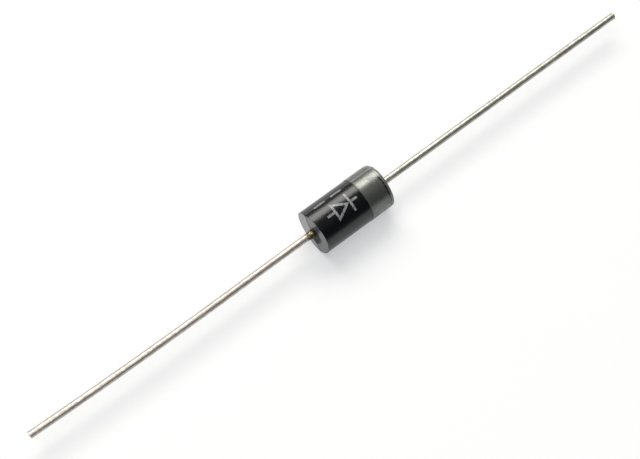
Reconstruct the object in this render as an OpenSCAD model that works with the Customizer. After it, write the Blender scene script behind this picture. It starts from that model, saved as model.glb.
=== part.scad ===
// Axial-lead avalanche diode in a moulded cylindrical package.
// It lies on Z = 0 with its leads along X: the anode points to -X and the cathode to +X.
// The origin is on the surface that it lies on, under the middle of the body.
// Two nail-head leads are soldered to a bevelled die, a soft bead seals the die's edge, and
// the body is moulded round all of it in a mould that parts along the leads. The mould's
// halves leave a line of flash there and a draft on the end faces.
// All sizes are in millimetres.

/* [Moulded body] */
// Diameter of the moulding
body_d = 4.0; // [3.4:0.1:5.4]
// Length of the moulding from end face to end face
body_l = 7.2; // [6.0:0.1:9.6]
// Radius of the nearly sharp rim round the anode's end face
anode_rim_r = 0.08; // [0.05:0.01:0.30]
// Radius of the softer rim round the cathode's end face
cathode_rim_r = 0.28; // [0.05:0.01:0.30]
// Height of the parting line above the moulding
flash_h = 0.02; // [0.01:0.005:0.06]
// Width of the parting line
flash_w = 0.08; // [0.04:0.01:0.20]
// Turn of the mould's parting plane about the leads, in degrees from level
parting_turn = 58; // [0:1:70]
// Slope of the end faces away from the parting plane, in degrees
draft = 4; // [1:0.5:6]
// Length of the thin skin of resin that crept out along the anode lead
anode_collar_l = 0.60; // [0.05:0.01:0.60]
// Thickness of that skin at the end face
anode_collar_t = 0.10; // [0.02:0.01:0.12]
// Length of the collar of moulding round the cathode lead
cathode_collar_l = 0.20; // [0.05:0.01:0.60]
// Thickness of that collar at the end face
cathode_collar_t = 0.05; // [0.02:0.01:0.12]
// Thickness of both at their thin edge
collar_edge_t = 0.01; // [0.005:0.005:0.02]

/* [Cathode band] */
// Width of the printed band along the body
band_w = 2.05; // [1.0:0.05:3.0]
// Bare strip of moulding between the band and the rounded rim
band_margin = 0.15; // [0.01:0.01:0.50]
// Thickness of the printed ink
ink_t = 0.02; // [0.01:0.005:0.05]

/* [Leads] */
// Diameter of the bare copper wire
wire_d = 0.58; // [0.48:0.01:0.78]
// Thickness of the tin plating on the wire outside the body
plating_t = 0.01; // [0.005:0.005:0.02]
// Length next to the body over which the plating thins out to bare copper
thinning_l = 0.65; // [0.62:0.01:1.2]
// Length of the wire outside the body at each end
lead_l = 27.15; // [10:0.05:40]
// Chamfer round the cut tip
tip_chamfer = 0.04; // [0.02:0.01:0.10]
// Slope of the half of the tip that the cutter dragged back, in degrees
tip_drag = 14; // [2:1:30]
// Length of the flat that the cutter pressed on one side of the tip
tip_flat_l = 1.1; // [0.3:0.1:2.0]
// Depth of that flat at the tip
tip_flat_t = 0.10; // [0.02:0.01:0.12]
// Diameter of the nail head on the inner end
head_d = 1.6; // [1.5:0.05:2.0]
// Thickness of the nail head
head_t = 0.40; // [0.30:0.01:0.60]
// Radius of the nail head's rounded edges
head_edge_r = 0.08; // [0.03:0.01:0.10]
// Radius of the fillet between the nail head and the wire
neck_r = 0.25; // [0.10:0.01:0.25]

/* [Junction] */
// Side of the square die
die_w = 1.1; // [0.8:0.05:1.2]
// Thickness of the die
die_t = 0.25; // [0.15:0.01:0.35]
// Width of the bevel round the die's anode face
bevel_w = 0.08; // [0.03:0.01:0.12]
// Depth of that bevel
bevel_h = 0.10; // [0.03:0.01:0.12]
// Thickness of each solder joint
solder_t = 0.06; // [0.03:0.01:0.12]
// Bare border of the die round each solder joint
solder_border = 0.03; // [0.01:0.01:0.08]
// How much wider the solder spreads on the nail head than on the die
solder_spread = 0.06; // [0.02:0.01:0.12]
// Height of the bead above the nail head's edge at its ends
bead_t = 0.05; // [0.02:0.01:0.10]
// How far the bead swells out between its ends
bead_swell = 0.25; // [0.10:0.01:0.40]
// Part of the nail head's thickness that the bead leaves bare
bead_setback = 0.12; // [0.11:0.01:0.20]

/* [Hidden] */
$fn = 96;

wire_r = wire_d / 2;
lead_r = wire_r + plating_t;
head_r = head_d / 2;
// Height of the lead axis above the surface
axis_z = body_d / 2 + ink_t;
// Distance from the middle of the die to the flat of each nail head
head_x = die_t / 2 + solder_t;
// Distance from the middle of the body to the cut tip of each lead
tip_x = body_l / 2 + lead_l;
// Where the band starts, measured from the middle of the body
band_x = body_l / 2 - cathode_rim_r - band_margin - band_w;
// Radius of the solder where it meets the die
solder_r = die_w / 2 - bevel_w - solder_border;
// Radius of the bead at its ends, and half its length
bead_r = head_r + bead_t;
bead_half_l = head_x + head_t - bead_setback;
// Radius of the arc that swells out from the bead's ends
bead_arc_r = (bead_half_l ^ 2 + bead_swell ^ 2) / (2 * bead_swell);
// Depth in the moulding from which the collars grow, past the slope of the end faces
collar_root = 0.1;
// A length that reaches past the body in every direction
past_body = body_d + body_l;

// Lays children, drawn with the lead axis along Z and the cathode up, along X at lead height.
module lay() {
    translate([0, 0, axis_z])
        rotate([0, 90, 0])
            children();
}

// Half outline of a round bar with rounded rims, from height y0 to y0 + l, for rotate_extrude.
module bar_outline(r, y0, l, low_rim_r, high_rim_r) {
    translate([0, y0 + low_rim_r])
        square([r, l - low_rim_r - high_rim_r]);
    translate([0, y0])
        square([r - low_rim_r, l / 2]);
    translate([r - low_rim_r, y0 + low_rim_r])
        circle(low_rim_r);
    translate([0, y0 + l / 2])
        square([r - high_rim_r, l / 2]);
    translate([r - high_rim_r, y0 + l - high_rim_r])
        circle(high_rim_r);
}

// Round moulding, larger by grow on every side.
module bar(grow) {
    rotate_extrude()
        bar_outline(
            body_d / 2 + grow, -body_l / 2 - grow, body_l + 2 * grow,
            anode_rim_r + grow, cathode_rim_r + grow
        );
}

// Wire collar on the cathode's side, of length l and of thickness t at the end face.
module collar(l, t) {
    translate([0, 0, body_l / 2 - collar_root])
        cylinder(h = collar_root + l, r1 = wire_r + t, r2 = lead_r + collar_edge_t);
}

// Turns children, drawn with the mould parting at X = 0, to where the mould really parted.
module turn_mould() {
    rotate([0, 0, parting_turn])
        children();
}

// Block with the end faces that the mould gives: highest where it parts, and sloped on both sides.
module drafted_block() {
    drop = body_d * tan(draft);
    rotate([90, 0, 0])
        linear_extrude(past_body, center = true)
            polygon([
                [0, body_l / 2],
                [body_d, body_l / 2 - drop],
                [body_d, drop - body_l / 2],
                [0, -body_l / 2],
                [-body_d, drop - body_l / 2],
                [-body_d, body_l / 2 - drop]
            ]);
}

// Cross-section of the moulding with its parting line, larger by grow on every side.
module body_section(grow) {
    circle(d = body_d + 2 * grow);
    intersection() {
        circle(d = body_d + 2 * (flash_h + grow));
        square([flash_w + 2 * grow, past_body], center = true);
    }
}

// Fillet between the nail head and the wire, as half an outline.
module neck_outline() {
    translate([0, head_x + head_t])
        difference() {
            square([wire_r + neck_r, neck_r]);
            translate([wire_r + neck_r, neck_r])
                circle(neck_r);
        }
}

// Lead on the cathode's side: nail head, fillet, bare wire in the moulding, tinned wire and its tip,
// which the cutter dragged back below and pressed flat on the -Y side.
module lead_form() {
    difference() {
        rotate_extrude() {
            bar_outline(head_r, head_x, head_t, head_edge_r, head_edge_r);
            neck_outline();
            polygon([
                [0, head_x],
                [wire_r, head_x],
                [wire_r, body_l / 2],
                [lead_r, body_l / 2 + thinning_l],
                [lead_r, tip_x - tip_chamfer],
                [lead_r - tip_chamfer, tip_x],
                [0, tip_x]
            ]);
        }
        translate([0, 0, tip_x])
            rotate([0, tip_drag, 0])
                translate([0, -wire_d, 0])
                    cube(2 * wire_d);
        translate([0, -lead_r, tip_x - tip_flat_l])
            rotate([-atan(tip_flat_t / tip_flat_l), 0, 0])
                translate([-wire_d, -wire_d, 0])
                    cube([2 * wire_d, wire_d, 2 * tip_flat_l]);
    }
}

// Solder joint on the cathode's side, spreading from the die to the nail head.
module solder_form() {
    translate([0, 0, die_t / 2])
        cylinder(h = solder_t, r1 = solder_r, r2 = solder_r + solder_spread);
}

// Side view of the die, bevelled at its anode face, as a slab as deep as the die is wide.
module die_slab() {
    rotate([90, 0, 0])
        linear_extrude(die_w, center = true)
            polygon([
                [-die_w / 2, die_t / 2],
                [-die_w / 2, bevel_h - die_t / 2],
                [bevel_w - die_w / 2, -die_t / 2],
                [die_w / 2 - bevel_w, -die_t / 2],
                [die_w / 2, bevel_h - die_t / 2],
                [die_w / 2, die_t / 2]
            ]);
}

module die_form() {
    intersection() {
        die_slab();
        rotate([0, 0, 90])
            die_slab();
    }
}

// Barrel outside of the bead, still filled where the die and the heads sit.
module bead_form() {
    rotate_extrude() {
        translate([0, -bead_half_l])
            square([bead_r, 2 * bead_half_l]);
        intersection() {
            translate([bead_r + bead_swell - bead_arc_r, 0])
                circle(bead_arc_r);
            translate([0, -bead_half_l])
                square([bead_r + bead_swell, 2 * bead_half_l]);
        }
    }
}

// Draws children on the cathode's side and again, mirrored, on the anode's side.
module both_ends() {
    children();
    mirror([0, 0, 1])
        children();
}

// Black epoxy moulding. It fills every space round the leads and the bead.
module moulded_body() {
    color("#16171a")
        lay()
            difference() {
                union() {
                    turn_mould() {
                        intersection() {
                            bar(0);
                            drafted_block();
                        }
                        intersection() {
                            bar(flash_h);
                            cube([flash_w, past_body, past_body], center = true);
                        }
                    }
                    collar(cathode_collar_l, cathode_collar_t);
                    mirror([0, 0, 1])
                        collar(anode_collar_l, anode_collar_t);
                }
                both_ends() lead_form();
                bead_form();
            }
}

// Ring of silver ink that marks the cathode. It follows the side and the parting line.
module cathode_band() {
    color("#8e9290")
        lay()
            translate([0, 0, band_x])
                turn_mould()
                    linear_extrude(band_w)
                        difference() {
                            body_section(ink_t);
                            body_section(0);
                        }
}

// Tinned copper wire on the anode's side.
module anode_lead() {
    color("#c9c6bd")
        lay()
            mirror([0, 0, 1])
                lead_form();
}

// Tinned copper wire on the cathode's side.
module cathode_lead() {
    color("#c9c6bd")
        lay()
            lead_form();
}

// Solder between the die's bevelled face and the anode lead.
module anode_solder() {
    color("#9a9c9e")
        lay()
            mirror([0, 0, 1])
                solder_form();
}

// Solder between the die and the cathode lead.
module cathode_solder() {
    color("#9a9c9e")
        lay()
            solder_form();
}

// Silicon chip with the avalanche junction.
module silicon_die() {
    color("#4a4f58")
        lay()
            die_form();
}

// Soft silicone bead that seals the die's edge between the two nail heads.
module junction_bead() {
    color("#e4e0d6")
        lay()
            difference() {
                bead_form();
                both_ends() lead_form();
                both_ends() solder_form();
                die_form();
            }
}

moulded_body();
cathode_band();
anode_lead();
cathode_lead();
anode_solder();
cathode_solder();
silicon_die();
junction_bead();
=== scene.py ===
"""Axial-lead avalanche diode, dressed over its CAD frame. Lengths are in metres."""
import math

import bmesh
import bpy
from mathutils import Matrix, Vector, noise


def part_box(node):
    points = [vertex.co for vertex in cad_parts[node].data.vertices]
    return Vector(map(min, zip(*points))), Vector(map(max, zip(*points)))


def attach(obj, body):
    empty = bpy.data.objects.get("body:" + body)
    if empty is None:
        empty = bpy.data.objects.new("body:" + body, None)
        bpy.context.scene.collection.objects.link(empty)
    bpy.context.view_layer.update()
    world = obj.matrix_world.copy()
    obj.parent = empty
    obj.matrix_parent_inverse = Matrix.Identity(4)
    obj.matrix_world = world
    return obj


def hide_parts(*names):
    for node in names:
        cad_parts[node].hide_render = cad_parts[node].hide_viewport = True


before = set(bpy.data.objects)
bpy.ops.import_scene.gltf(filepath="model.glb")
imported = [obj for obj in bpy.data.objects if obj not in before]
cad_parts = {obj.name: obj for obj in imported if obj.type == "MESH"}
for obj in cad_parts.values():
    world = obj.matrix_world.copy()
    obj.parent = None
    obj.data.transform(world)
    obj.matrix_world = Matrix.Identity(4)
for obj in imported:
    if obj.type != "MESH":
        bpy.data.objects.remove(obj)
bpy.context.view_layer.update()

# Each lead is one round copper wire with a nail head upset on its inner end, tinned after
# moulding, so the tin thins out to bare copper at the body. Its outer end is sheared off with
# a slanted, bare cut and pressed flat on one side, and the anode lead is slightly bent.
mm = 0.001
lead_low, lead_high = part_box("cathode_lead")
tip_x = lead_high.x
axis_z = (lead_low.z + lead_high.z) / 2
head_x = lead_low.x
head_r = lead_high.y
head_t = 0.40 * mm
head_edge_r = 0.08 * mm
head_edge_steps = 5
neck_r = 0.25 * mm
neck_steps = 8
wire_r = 0.29 * mm
tinned_r = 0.30 * mm
cathode_collar_l = 0.20 * mm
anode_collar_l = 0.60 * mm
body_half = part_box("moulded_body")[1].x - cathode_collar_l
thinning_l = 0.65 * mm
tin_hides_copper_l = 1.04 * mm
tip_chamfer = 0.04 * mm
tip_slant = math.radians(14)
tip_flat_l = 1.1 * mm
tip_flat_t = 0.10 * mm
ring_gap = 0.5 * mm
lead_steps = 48
bend_x = -9 * mm
bend_start_l = 1 * mm
bend_slope = 0.014
bend_curve = -1.08
merge_gap = 0.0001 * mm
sharp_angle = math.radians(32)
cut_facing = 0.8


def spread(start, end, steps):
    """Evenly spaced values from start to end, both of them included."""
    return [start + (end - start) * i / steps for i in range(steps + 1)]


def arc(centre, radius, start, end, steps):
    """Points of a round corner as (along the axis, out from it), between two angles in degrees."""
    angles = [math.radians(a) for a in spread(start, end, steps)]
    return [(centre[0] + radius * math.cos(a), centre[1] + radius * math.sin(a)) for a in angles]


def revolve(outline, steps, closed=False):
    """A bmesh of (along, out) points turned once round the lead axis."""
    bm = bmesh.new()
    verts = [bm.verts.new((x, 0, axis_z + out)) for x, out in outline]
    edges = [bm.edges.new(pair) for pair in zip(verts, verts[1:])]
    if closed:
        edges.append(bm.edges.new((verts[-1], verts[0])))
    bmesh.ops.spin(bm, geom=verts + edges, cent=(0, 0, axis_z), axis=(1, 0, 0),
                   angle=math.tau, steps=steps, use_merge=True)
    bmesh.ops.remove_doubles(bm, verts=bm.verts, dist=merge_gap)
    bmesh.ops.recalc_face_normals(bm, faces=bm.faces)
    return bm


def finish_piece(name, bm, materials, slot, *nodes):
    """Makes the bmesh an object that stands for CAD nodes, shaded smooth but for its sharp edges."""
    for face in bm.faces:
        face.smooth = True
    mesh = bpy.data.meshes.new(name)
    bm.to_mesh(mesh)
    bm.free()
    mesh.set_sharp_from_angle(angle=sharp_angle)
    for material in materials:
        mesh.materials.append(material)
    piece = bpy.data.objects.new(name, mesh)
    bpy.context.scene.collection.objects.link(piece)
    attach(piece, "root")
    if nodes:
        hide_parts(*nodes)


class Value:
    """A socket of a material. Python arithmetic on it adds the Math nodes."""

    def __init__(self, tree, socket=None):
        self.tree = tree
        self.socket = socket

    def node(self, kind, settings=None, inputs=None, output=0):
        """Adds a node, with its settings set first, then its inputs' values or links."""
        made = self.tree.nodes.new(kind)
        for key, setting in (settings or {}).items():
            setattr(made, key, setting)
        for key, given in (inputs or {}).items():
            if isinstance(given, Value):
                self.tree.links.new(given.socket, made.inputs[key])
            else:
                made.inputs[key].default_value = given
        return Value(self.tree, made.outputs[output])

    def maths(self, operation, first, second=0.0):
        """A Math node on two values, either of them a plain number."""
        return self.node("ShaderNodeMath", {"operation": operation}, {0: first, 1: second})

    def __add__(self, other):
        return self.maths("ADD", self, other)

    def __radd__(self, other):
        return self.maths("ADD", other, self)

    def __sub__(self, other):
        return self.maths("SUBTRACT", self, other)

    def __rsub__(self, other):
        return self.maths("SUBTRACT", other, self)

    def __mul__(self, other):
        return self.maths("MULTIPLY", self, other)

    def __rmul__(self, other):
        return self.maths("MULTIPLY", other, self)

    def __abs__(self):
        return self.maths("ABSOLUTE", self)

    def place(self):
        """The point on the piece, in metres."""
        return self.node("ShaderNodeTexCoord", output="Object")

    def along(self):
        """How far the point lies along the leads, towards the cathode."""
        return self.node("ShaderNodeSeparateXYZ", None, {0: self.place()}, output="X")

    def aside(self):
        """How far the point lies to the +Y side of the leads."""
        return self.node("ShaderNodeSeparateXYZ", None, {0: self.place()}, output="Y")

    def out(self):
        """How far the point lies from the lead axis."""
        spoke = self.node("ShaderNodeVectorMath", {"operation": "MULTIPLY_ADD"},
                          {0: self.place(), 1: (0, 1, 1), 2: (0, 0, -axis_z)})
        return self.node("ShaderNodeVectorMath", {"operation": "LENGTH"}, {0: spoke}, output="Value")

    def grain(self, per_mm, detail=3.0, rough=0.5):
        """Noise from 0 to 1 with so many spots in a millimetre along each axis."""
        scaled = self.node("ShaderNodeVectorMath", {"operation": "MULTIPLY"},
                           {0: self.place(), 1: [n / mm for n in per_mm]})
        return self.node("ShaderNodeTexNoise", None,
                         {"Vector": scaled, "Scale": 1.0, "Detail": detail, "Roughness": rough})

    def ramp(self, low, high):
        """0 where this value is under low, 1 over high, and a smooth step between them."""
        return self.node("ShaderNodeMapRange", {"interpolation_type": "SMOOTHSTEP"},
                         {"Value": self, "From Min": low, "From Max": high})

    def blend(self, first, second):
        """The colour first where this value is 0, second where it is 1."""
        first, second = [c if isinstance(c, Value) else (*c, 1.0) for c in (first, second)]
        return self.node("ShaderNodeMix", {"data_type": "RGBA"}, {0: self, 6: first, 7: second}, output=2)

    def dents(self, depth):
        """Turns this height, from 0 to 1, into a bump of that depth in metres."""
        return self.node("ShaderNodeBump", None, {"Height": self, "Distance": depth, "Strength": 1.0})


def new_finish(name, **constants):
    """A material, its maker of values and its shader, with the shader's constant inputs set."""
    material = bpy.data.materials.new(name)
    material.use_nodes = True
    shader = material.node_tree.nodes["Principled BSDF"]
    for key, constant in constants.items():
        shader.inputs[key.replace("_", " ")].default_value = constant
    return material, Value(material.node_tree), shader


def drive(shader, **inputs):
    """Links values to the shader's inputs."""
    for key, value in inputs.items():
        value.tree.links.new(value.socket, shader.inputs[key.replace("_", " ")])


tint_change_l = 0.5 * mm
bare_copper = (0.36, 0.29, 0.17)

tinned, v, shader = new_finish("tinned_copper", Metallic=1.0)
drawn = v.grain((0.5, 5.0, 5.0))
scuffs = v.grain((4.0, 5.0, 5.0), rough=0.6).ramp(0.4, 0.6)
patches = v.grain((0.9, 1.6, 1.6), detail=4.0, rough=0.6)
ripples = v.grain((3.0, 1.0, 1.0))
bare = 1 - abs(v.along()).ramp(body_half + cathode_collar_l, body_half + tin_hides_copper_l)
anode_side = 1 - v.along().ramp(-tint_change_l, tint_change_l)
clean_tin = anode_side.blend((0.52, 0.52, 0.47), (0.56, 0.53, 0.49))
dull_tin = anode_side.blend((0.40, 0.39, 0.34), (0.44, 0.40, 0.36))
dull = 0.5 * patches.ramp(0.35, 0.7) + 0.5 * scuffs
drive(shader,
      Base_Color=(bare * anode_side).blend(dull.blend(clean_tin, dull_tin), bare_copper),
      Roughness=0.32 + 0.16 * drawn + 0.12 * scuffs,
      Normal=(drawn + 0.6 * patches + 0.3 * ripples + 0.4 * scuffs).dents(0.012 * mm))

cut_copper, v, shader = new_finish("cut_copper", Metallic=1.0, Roughness=0.5)
shear_marks = v.grain((2.0, 3.0, 14.0))
drive(shader,
      Base_Color=shear_marks.blend((0.20, 0.17, 0.11), (0.34, 0.30, 0.20)),
      Normal=shear_marks.dents(0.02 * mm))


def neck_outline():
    """The back edge of the nail head and the round neck between it and the wire."""
    head_back = head_x + head_t
    return (
        arc((head_back - head_edge_r, head_r - head_edge_r), head_edge_r, 90, 0, head_edge_steps)
        + arc((head_back + neck_r, wire_r + neck_r), neck_r, 180, 270, neck_steps)
    )


def lead_outline():
    """Half outline of the cathode lead, from the flat of its nail head to its cut tip."""
    thinned_x = body_half + thinning_l
    ring_count = round((tip_x - thinned_x) / ring_gap)
    return (
        [(head_x, 0)]
        + arc((head_x + head_edge_r, head_r - head_edge_r), head_edge_r, 180, 90, head_edge_steps)
        + neck_outline()
        + [(body_half, wire_r)]
        + [(x, tinned_r) for x in spread(thinned_x, tip_x - tip_chamfer, ring_count)]
        + [(tip_x, tinned_r - tip_chamfer), (tip_x, 0)]
    )


def cut_off(bm, spot, facing):
    """Cuts the mesh by the plane through spot and closes the cut."""
    bmesh.ops.bisect_plane(bm, geom=bm.verts[:] + bm.edges[:] + bm.faces[:], dist=merge_gap,
                           plane_co=spot, plane_no=facing, clear_outer=True)
    bmesh.ops.holes_fill(bm, edges=[e for e in bm.edges if e.is_boundary], sides=0)
    bmesh.ops.recalc_face_normals(bm, faces=bm.faces)


def is_cut_face(face, side):
    """Whether the face belongs to the sheared end of the lead on that side."""
    at_tip = side * face.calc_center_median().x > tip_x - 2 * tip_chamfer
    return at_tip and side * face.normal.x > cut_facing


# The anode lead is the cathode lead mirrored. Only the anode lead reaches past bend_x, so only it bends.
for side, node in ((-1, "anode_lead"), (1, "cathode_lead")):
    bm = revolve([(side * x, out) for x, out in lead_outline()], lead_steps)
    cut_off(bm, (side * tip_x, 0, axis_z), (side * math.cos(tip_slant), 0, -math.sin(tip_slant)))
    cut_off(bm, (side * (tip_x - tip_flat_l), -tinned_r, axis_z), (side * tip_flat_t, -tip_flat_l, 0))
    for vert in bm.verts:
        bent_l = max(0.0, bend_x - vert.co.x)
        vert.co.y -= bend_slope * bent_l ** 2 / (bent_l + bend_start_l) + bend_curve * bent_l ** 2
    for face in bm.faces:
        if is_cut_face(face, side):
            face.material_index = 1
    finish_piece(node + "_wire", bm, [tinned, cut_copper], "tinned_wire", node)

# A thin layer of solder joins each nail head to the die. It was a flat disc that melted
# and spread a little further over the head than over the silicon.
solder, v, shader = new_finish("reflowed_solder", Metallic=1.0)
ripple = v.grain((3.0, 3.0, 3.0))
drive(shader,
      Base_Color=ripple.blend((0.42, 0.42, 0.43), (0.55, 0.55, 0.56)),
      Roughness=0.3 + 0.25 * ripple,
      Normal=ripple.dents(0.01 * mm))


def paint(node, material):
    """Gives a CAD node that is shown as it is its finish."""
    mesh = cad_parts[node].data
    mesh.materials.clear()
    mesh.materials.append(material)


for node in ("anode_solder", "cathode_solder"):
    paint(node, solder)

# The die is a square chip of silicon, sawn and then etched to a bevel round its anode
# face. The avalanche junction lies across it.
silicon, v, shader = new_finish("etched_silicon", Specular_IOR_Level=0.8)
etched = v.grain((8.0, 8.0, 8.0), detail=4.0)
drive(shader,
      Base_Color=etched.blend((0.06, 0.065, 0.08), (0.12, 0.125, 0.15)),
      Roughness=0.3 + 0.3 * etched,
      Normal=etched.dents(0.004 * mm))
paint("silicon_die", silicon)

# A soft bead of silicone resin was dropped round the die and cured, to seal the edge of
# the junction before the body was moulded over it.
silicone, v, shader = new_finish("cured_silicone", Subsurface_Weight=0.2)
milk = v.grain((1.5, 1.5, 1.5))
drive(shader,
      Base_Color=milk.blend((0.78, 0.74, 0.66), (0.86, 0.83, 0.77)),
      Roughness=0.35 + 0.2 * milk,
      Normal=milk.dents(0.01 * mm))
paint("junction_bead", silicone)

# The body is black filled epoxy, moulded round the leads in a mould that parts along them. It left a
# line of flash and end faces that slope away from it. The side is glossy and the ends are duller. Resin
# crept out along the wires, as an amber skin at the anode, whose pale amber at the root is partly a
# painted glint. On the anode face, on the -Y side of the lead, a dark patch is painted shade for the
# lead's shadow and dark reflection there.
body_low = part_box("moulded_body")[0]
bead_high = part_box("junction_bead")[1]
body_r = axis_z - body_low.z
anode_rim_r = 0.08 * mm
cathode_rim_r = 0.28 * mm
rim_steps = 8
flash_h = 0.02 * mm
flash_half_w = 0.048 * mm
parting_turn = math.radians(58)
across_mould = Vector((0, math.sin(parting_turn), -math.cos(parting_turn)))
draft = math.tan(math.radians(4))
cathode_collar_t = 0.05 * mm
anode_collar_t = 0.10 * mm
collar_edge_r = tinned_r + 0.01 * mm
collar_root = 0.1 * mm
collar_gap = 0.005 * mm
bead_t = 0.05 * mm
bead_swell = bead_high.y - head_r - bead_t
bead_half = bead_high.x
bead_steps = 10
side_rings = 48
face_rings = 14
body_steps = 360

band_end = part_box("cathode_band")[1].x
edge_fade = 0.02 * mm
side_fade = 0.15 * mm
nick_l = 0.12 * mm
rim_ink_r = 1.62 * mm
rim_ink_fade = 0.12 * mm
face_depth = 0.15 * mm
face_fade = 0.05 * mm
face_r = body_r - 0.12 * mm
face_r_fade = 0.07 * mm
# The painted shade patch on the anode face: its reach round the lead, its soft edge, and where it starts
# on the -Y side.
shade_patch_r = 1.05 * mm
shade_patch_fade = 0.3 * mm
shade_patch_wander = 0.3 * mm
shade_patch_start_y = -0.2 * mm
shade_patch_full_y = 0.1 * mm
skin_edge = 0.03 * mm
skin_fade = 0.1 * mm
glossy_resin = (0.002, 0.0024, 0.0036)
dull_resin = (0.046, 0.054, 0.062)
rim_silver = (0.2, 0.205, 0.19)
root_amber_and_glint = (0.50, 0.44, 0.26)
thin_amber = (0.32, 0.27, 0.19)
brown_resin = (0.08, 0.055, 0.03)


def rubbed_side(v):
    """1 on the -Y side of the body, where the ink is rubbed, and 0 on the other side."""
    return (-1 * v.aside()).ramp(0, side_fade)


epoxy, v, shader = new_finish("moulded_epoxy", IOR=1.5, Coat_Roughness=0.2)
nicks = v.grain((5.0, 4.0, 4.0))
past_band = v.along() - nick_l * (1 - nicks) * rubbed_side(v)
rim_end = past_band.ramp(band_end - edge_fade, band_end + edge_fade)
rim_spots = v.grain((3.0, 2.5, 2.5), detail=4.0, rough=0.65).ramp(0.3, 0.5)
ink_left = 1 - rubbed_side(v) * (1 - rim_spots)
inked = rim_end * v.out().ramp(rim_ink_r, rim_ink_r + rim_ink_fade) * ink_left
at_end = abs(v.along()).ramp(body_half - face_depth - face_fade, body_half - face_depth)
on_face = at_end * (1 - v.out().ramp(face_r, face_r + face_r_fade)) * (1 - inked)
# Painted shade: round the anode lead, on its -Y side, the face is made darker and rougher where the
# lead's shadow and dark reflection fall.
shade_patch_edge = v.out() + shade_patch_wander * v.grain((2.5, 2.5, 2.5))
shade_patch_side = (-1 * v.aside()).ramp(shade_patch_start_y, shade_patch_full_y) * (-1 * v.along()).ramp(0, body_half / 2)
painted_shade_patch = on_face * shade_patch_side * (1 - shade_patch_edge.ramp(shade_patch_r, shade_patch_r + shade_patch_fade))
dull_face = on_face * (1 - painted_shade_patch)
by_wire = 1 - v.out().ramp(collar_edge_r + skin_fade, collar_edge_r + 2 * skin_fade)
skin = by_wire * (-1 * v.along()).ramp(body_half, body_half + skin_edge)
skin_end = (-1 * v.along()).ramp(body_half + skin_fade, body_half + anode_collar_l)
peel = v.grain((2.2, 2.2, 2.2))
filler = v.grain((16.0, 16.0, 16.0), detail=2.0)
resin = dull_face.blend(glossy_resin, dull_resin)
# The skin is amber, paler at the root and blotched with dark brown. The pale amber at the root is partly
# a painted glint.
amber = skin_end.blend(root_amber_and_glint, thin_amber)
blotchy_amber_and_glint = v.grain((4.0, 4.0, 4.0), detail=4.0).ramp(0.39, 0.49).blend(amber, brown_resin)
drive(shader,
      Base_Color=skin.blend(inked.blend(resin, rim_silver), blotchy_amber_and_glint),
      Metallic=0.5 * inked + 0.85 * skin,
      Roughness=(0.18 + 0.12 * filler + 0.1 * dull_face + 0.4 * painted_shade_patch + 0.1 * inked
                 + skin * (0.2 * skin_end - 0.09)),
      Coat_Weight=0.5 * dull_face,
      Normal=(peel + 0.7 * filler + on_face * filler).dents(0.008 * mm))


def half_outline(rim_r, collar_l, collar_t):
    """Outside of one half of the body, from the wire over its collar, end face and rim."""
    rim_in = body_r - rim_r
    root_r = wire_r + collar_t
    face_out = root_r + (collar_edge_r - root_r) * collar_root / (collar_root + collar_l)
    return (
        [(body_half, wire_r)]
        + [(body_half + collar_l, wire_r + (tinned_r - wire_r) * collar_l / thinning_l)]
        + [(body_half + collar_l, collar_edge_r)]
        + [(body_half, out) for out in spread(face_out, rim_in, face_rings)[:-1]]
        + arc((body_half - rim_r, rim_in), rim_r, 0, 90, rim_steps)
    )


def body_outline():
    """Closed outline of the moulding: its outside, and inside it the moulded-in leads and bead."""
    swell_r = (bead_half ** 2 + bead_swell ** 2) / (2 * bead_swell)
    swell_centre = (0, head_r + bead_t + bead_swell - swell_r)
    swell_end = math.degrees(math.asin(bead_half / swell_r))
    bead_face = arc(swell_centre, swell_r, 90, 90 - swell_end, bead_steps)
    inside = bead_face + [(bead_half, head_r)] + neck_outline()
    cathode_half = half_outline(cathode_rim_r, cathode_collar_l, cathode_collar_t)
    anode_half = half_outline(anode_rim_r, anode_collar_l, anode_collar_t)
    side_xs = spread(body_half - cathode_rim_r, anode_rim_r - body_half, side_rings)[1:-1]
    mirrored = [(-x, out) for x, out in reversed(inside + anode_half)]
    return inside + cathode_half + [(x, body_r) for x in side_xs] + mirrored[:-1]


# The end faces slope back from the parting, and the flash stands up along it on side, rims and faces.
bm = revolve(body_outline(), body_steps, closed=True)
for vert in bm.verts:
    arm = Vector((0, vert.co.y, vert.co.z - axis_z))
    if arm.length < collar_edge_r + collar_gap:
        continue
    from_parting = abs(arm.dot(across_mould))
    face_x = body_half - from_parting * draft
    vert.co.x = max(-face_x, min(face_x, vert.co.x))
    rim_r = cathode_rim_r if vert.co.x > 0 else anode_rim_r
    outer = arm.length > body_r - rim_r or abs(vert.co.x) > body_half - rim_r / 2
    if from_parting > flash_half_w or not outer:
        continue
    past_x = max(0.0, abs(vert.co.x) - (body_half - rim_r)) / rim_r
    past_r = max(0.0, arm.length - (body_r - rim_r)) / rim_r
    reach = math.hypot(past_x, past_r)
    vert.co.x += math.copysign(flash_h * past_x / reach, vert.co.x)
    vert.co += arm.normalized() * flash_h * past_r / reach
finish_piece("epoxy_moulding", bm, [epoxy], "black_epoxy", "moulded_body")

# The cathode is marked by a band of silver ink, rolled on round the end of the body and over its
# rounded rim, where the body's own finish shows it. The band's edge towards the anode is soft, and
# on one side a ragged line of ink has come off beside the rim.
band_low, band_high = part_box("cathode_band")
ink_t = body_low.z - band_low.z
band_rings = 40
ragged_w = 0.03 * mm
bite_rate = 9.0
fine_bite_rate = 31.0
bite_level = 0.25
wavy_w = 0.03 * mm
wave_rate = 5.0
wave_shift = Vector((3, 0, 0))
soft_edge_l = 0.15 * mm
streak_l = 0.3 * mm
rubbed_l = 0.12 * mm
rubbed_fade = 0.08 * mm
bare_resin = (0.003, 0.003, 0.004)

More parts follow.
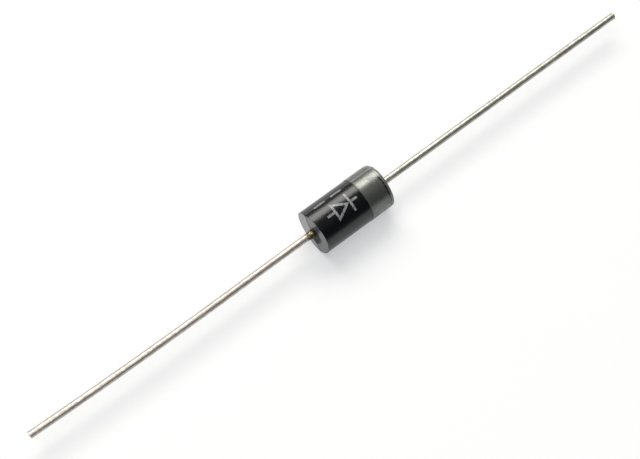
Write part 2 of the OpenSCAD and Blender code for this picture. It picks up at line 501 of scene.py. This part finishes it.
silver_ink, v, shader = new_finish("silver_ink")
flake = v.grain((9.0, 9.0, 9.0), detail=4.0, rough=0.6)
streaks = v.grain((9.0, 1.2, 1.2), rough=0.6)
spots = v.grain((2.2, 1.6, 1.6), detail=4.0, rough=0.65)
started = (v.along() - streak_l * streaks).ramp(band_low.x - soft_edge_l, band_low.x + edge_fade)
rubbed_x = band_high.x - rubbed_l
rubbed = v.along().ramp(rubbed_x, rubbed_x + rubbed_fade) * rubbed_side(v)
hold = started * (1 - rubbed * (1 - spots.ramp(0.48, 0.52)))
matt = (0.65 * spots + 0.35 * flake).ramp(0.35, 0.65)
ink = matt.blend((0.185, 0.188, 0.17), (0.125, 0.137, 0.137))
drive(shader,
      Base_Color=hold.blend(bare_resin, ink),
      Metallic=0.75 * hold,
      Roughness=0.2 + 0.06 * hold + 0.14 * matt,
      Normal=(0.6 * flake + spots).dents(0.008 * mm))

# Both edges wander a little, and the ink rides over the flash.
bm = revolve([(x, body_r) for x in spread(band_low.x, band_high.x, band_rings)], body_steps)
for vert in bm.verts:
    arm = Vector((0, vert.co.y, vert.co.z - axis_z))
    spot = arm.normalized()
    bites = noise.noise(spot * bite_rate) + 0.5 * noise.noise(spot * fine_bite_rate)
    far_bite = ragged_w * max(0.0, bites + bite_level)
    near_bite = wavy_w * (0.5 + 0.5 * noise.noise(spot * wave_rate + wave_shift))
    share = (vert.co.x - band_low.x) / (band_high.x - band_low.x)
    vert.co.x += near_bite * (1 - share) - far_bite * share
    if abs(arm.dot(across_mould)) < flash_half_w:
        vert.co += spot * flash_h
bmesh.ops.solidify(bm, geom=bm.faces[:], thickness=-ink_t)
bmesh.ops.recalc_face_normals(bm, faces=bm.faces)
finish_piece("cathode_ink_band", bm, [silver_ink], "silver_ink", "cathode_band")

# A plain polarity sign is printed beside the band in the same ink: a triangle that points
# to a bar at the cathode's side, with a short line at each end and two short dashes.
print_t = 0.010 * mm
print_sink = 0.002 * mm
print_cuts = 5
print_angle = math.radians(12)
stroke = 0.20 * mm
sign_base = -1.65 * mm
sign_apex = -0.15 * mm
sign_half_w = 0.85 * mm
front_line_l = 0.6 * mm
back_line_l = 0.7 * mm
dash_l = 1.1 * mm
dash_xs = (-2.1 * mm, -0.4 * mm)
dash_aside = -1.45 * mm

printed_ink, v, shader = new_finish("printed_ink", Metallic=0.3)
worn = v.grain((6.0, 6.0, 6.0))
drive(shader,
      Base_Color=worn.ramp(0.3, 0.7).blend((0.12, 0.13, 0.145), (0.34, 0.35, 0.36)),
      Roughness=0.35 + 0.2 * worn,
      Normal=worn.dents(0.006 * mm))


def print_bar(bm, centre, length, width):
    """Adds a flat bar: centre and sizes along the axis, then round the body."""
    count = print_cuts + 1
    made = bmesh.ops.create_grid(bm, x_segments=count, y_segments=count, size=0.5)["verts"]
    bmesh.ops.scale(bm, verts=made, vec=(length, width, 1))
    bmesh.ops.translate(bm, verts=made, vec=(*centre, 0))


# The sign is laid out flat and then wrapped round the body.
bm = bmesh.new()
lean = math.atan2(sign_half_w, sign_apex - sign_base)
hole_apex = sign_apex - stroke / math.sin(lean)
hole_base = sign_base + stroke
hole_half_w = (hole_apex - hole_base) * math.tan(lean)
outer = [(sign_base, -sign_half_w), (sign_apex, 0), (sign_base, sign_half_w)]
hole = [(hole_base, -hole_half_w), (hole_apex, 0), (hole_base, hole_half_w)]
rings = [[bm.verts.new((*spot, 0)) for spot in ring] for ring in (outer, hole)]
for i in range(3):
    j = (i + 1) % 3
    bm.faces.new((rings[0][i], rings[0][j], rings[1][j], rings[1][i]))
bmesh.ops.subdivide_edges(bm, edges=bm.edges[:], cuts=print_cuts, use_grid_fill=True)
print_bar(bm, (sign_apex + stroke / 2, 0), stroke, 2 * sign_half_w)
print_bar(bm, (sign_apex + stroke + front_line_l / 2, 0), front_line_l, stroke)
print_bar(bm, (sign_base - back_line_l / 2, 0), back_line_l, stroke)
for dash_x in dash_xs:
    print_bar(bm, (dash_x, dash_aside), dash_l, stroke)
for vert in bm.verts:
    angle = print_angle + vert.co.y / body_r
    out = body_r + print_t
    vert.co = (vert.co.x, -out * math.sin(angle), axis_z + out * math.cos(angle))
bmesh.ops.recalc_face_normals(bm, faces=bm.faces)
bmesh.ops.solidify(bm, geom=bm.faces[:], thickness=print_t + print_sink)
bmesh.ops.recalc_face_normals(bm, faces=bm.faces)
finish_piece("polarity_print", bm, [printed_ink], "silver_ink")

# The diode lies on a plain pale floor, lit by one wide soft lamp behind it and a weaker one over
# its anode lead. The room round it is dim, and paler low down behind the diode.
floor_half = 2.0
floor_glow = (0.94, 0.96, 1.0)
lamp_tint = (1.0, 0.975, 0.92)
dim_room = (0.06, 0.064, 0.07)
pale_wall = (0.45, 0.45, 0.45)

bpy.ops.mesh.primitive_plane_add(size=2 * floor_half)
floor = bpy.context.object
floor.name = "floor"
pale, v, shader = new_finish("pale_floor", Roughness=0.9, Specular_IOR_Level=0.0,
                             Base_Color=(0.5, 0.5, 0.5, 1), Emission_Strength=0.47)
seen = v.node("ShaderNodeLightPath", output="Is Camera Ray")
for ray in ("Is Glossy Ray", "Is Transmission Ray"):
    seen = seen + v.node("ShaderNodeLightPath", output=ray)
drive(shader, Emission_Color=seen.blend((0, 0, 0), floor_glow))
floor.data.materials.append(pale)


def add_lamp(name, place, aim, size, power):
    """A rectangular area lamp that stands at place and faces aim."""
    data = bpy.data.lights.new(name, "AREA")
    data.shape = "RECTANGLE"
    data.size, data.size_y = size
    data.energy = power
    data.color = lamp_tint
    lamp = bpy.data.objects.new(name, data)
    lamp.location = place
    lamp.rotation_euler = (Vector(place) - Vector(aim)).to_track_quat("Z", "Y").to_euler()
    bpy.context.scene.collection.objects.link(lamp)


add_lamp("window", place=(0.146, 0.361, 0.456), aim=(0, 0, 0), size=(0.56, 0.31), power=3.6)
add_lamp("softbox", place=(-0.055, -0.02, 0.3), aim=(-0.055, -0.02, 0), size=(0.13, 0.34), power=0.48)

world = bpy.data.worlds.new("room")
bpy.context.scene.world = world
world.use_nodes = True
v = Value(world.node_tree)
toward = v.node("ShaderNodeTexCoord", output="Generated")
height = v.node("ShaderNodeSeparateXYZ", None, {0: toward}, output="Z")
behind = v.node("ShaderNodeSeparateXYZ", None, {0: toward}, output="Y")
low_behind = (1 - height.ramp(0.25, 0.45)) * behind.ramp(-0.1, 0.5)
sky = low_behind.blend(dim_room, pale_wall)
world.node_tree.links.new(sky.socket, world.node_tree.nodes["Background"].inputs["Color"])

# The camera looks down on the diode from its anode end, as the photograph does. Its place and
# lens were fitted to the line of the leads, their tips and the body's end faces.
view_azimuth = math.radians(-38.903)
view_rise = math.radians(63.96)
view_far = 98.90 * mm
view_aim = Vector((-2.893 * mm, -0.102 * mm, axis_z))
camera_data = bpy.data.cameras.new("camera")
camera_data.sensor_width = 36
camera_data.lens = 68.28
camera_data.clip_start = 0.005
camera_data.clip_end = 20
camera = bpy.data.objects.new("camera", camera_data)
toward_camera = Vector((math.sin(view_azimuth) * math.cos(view_rise),
                        -math.cos(view_azimuth) * math.cos(view_rise), math.sin(view_rise)))
camera.location = view_aim + toward_camera * view_far
camera.rotation_euler = toward_camera.to_track_quat("Z", "Y").to_euler()
bpy.context.scene.collection.objects.link(camera)
bpy.context.scene.camera = camera
bpy.context.scene.view_settings.view_transform = "Standard"
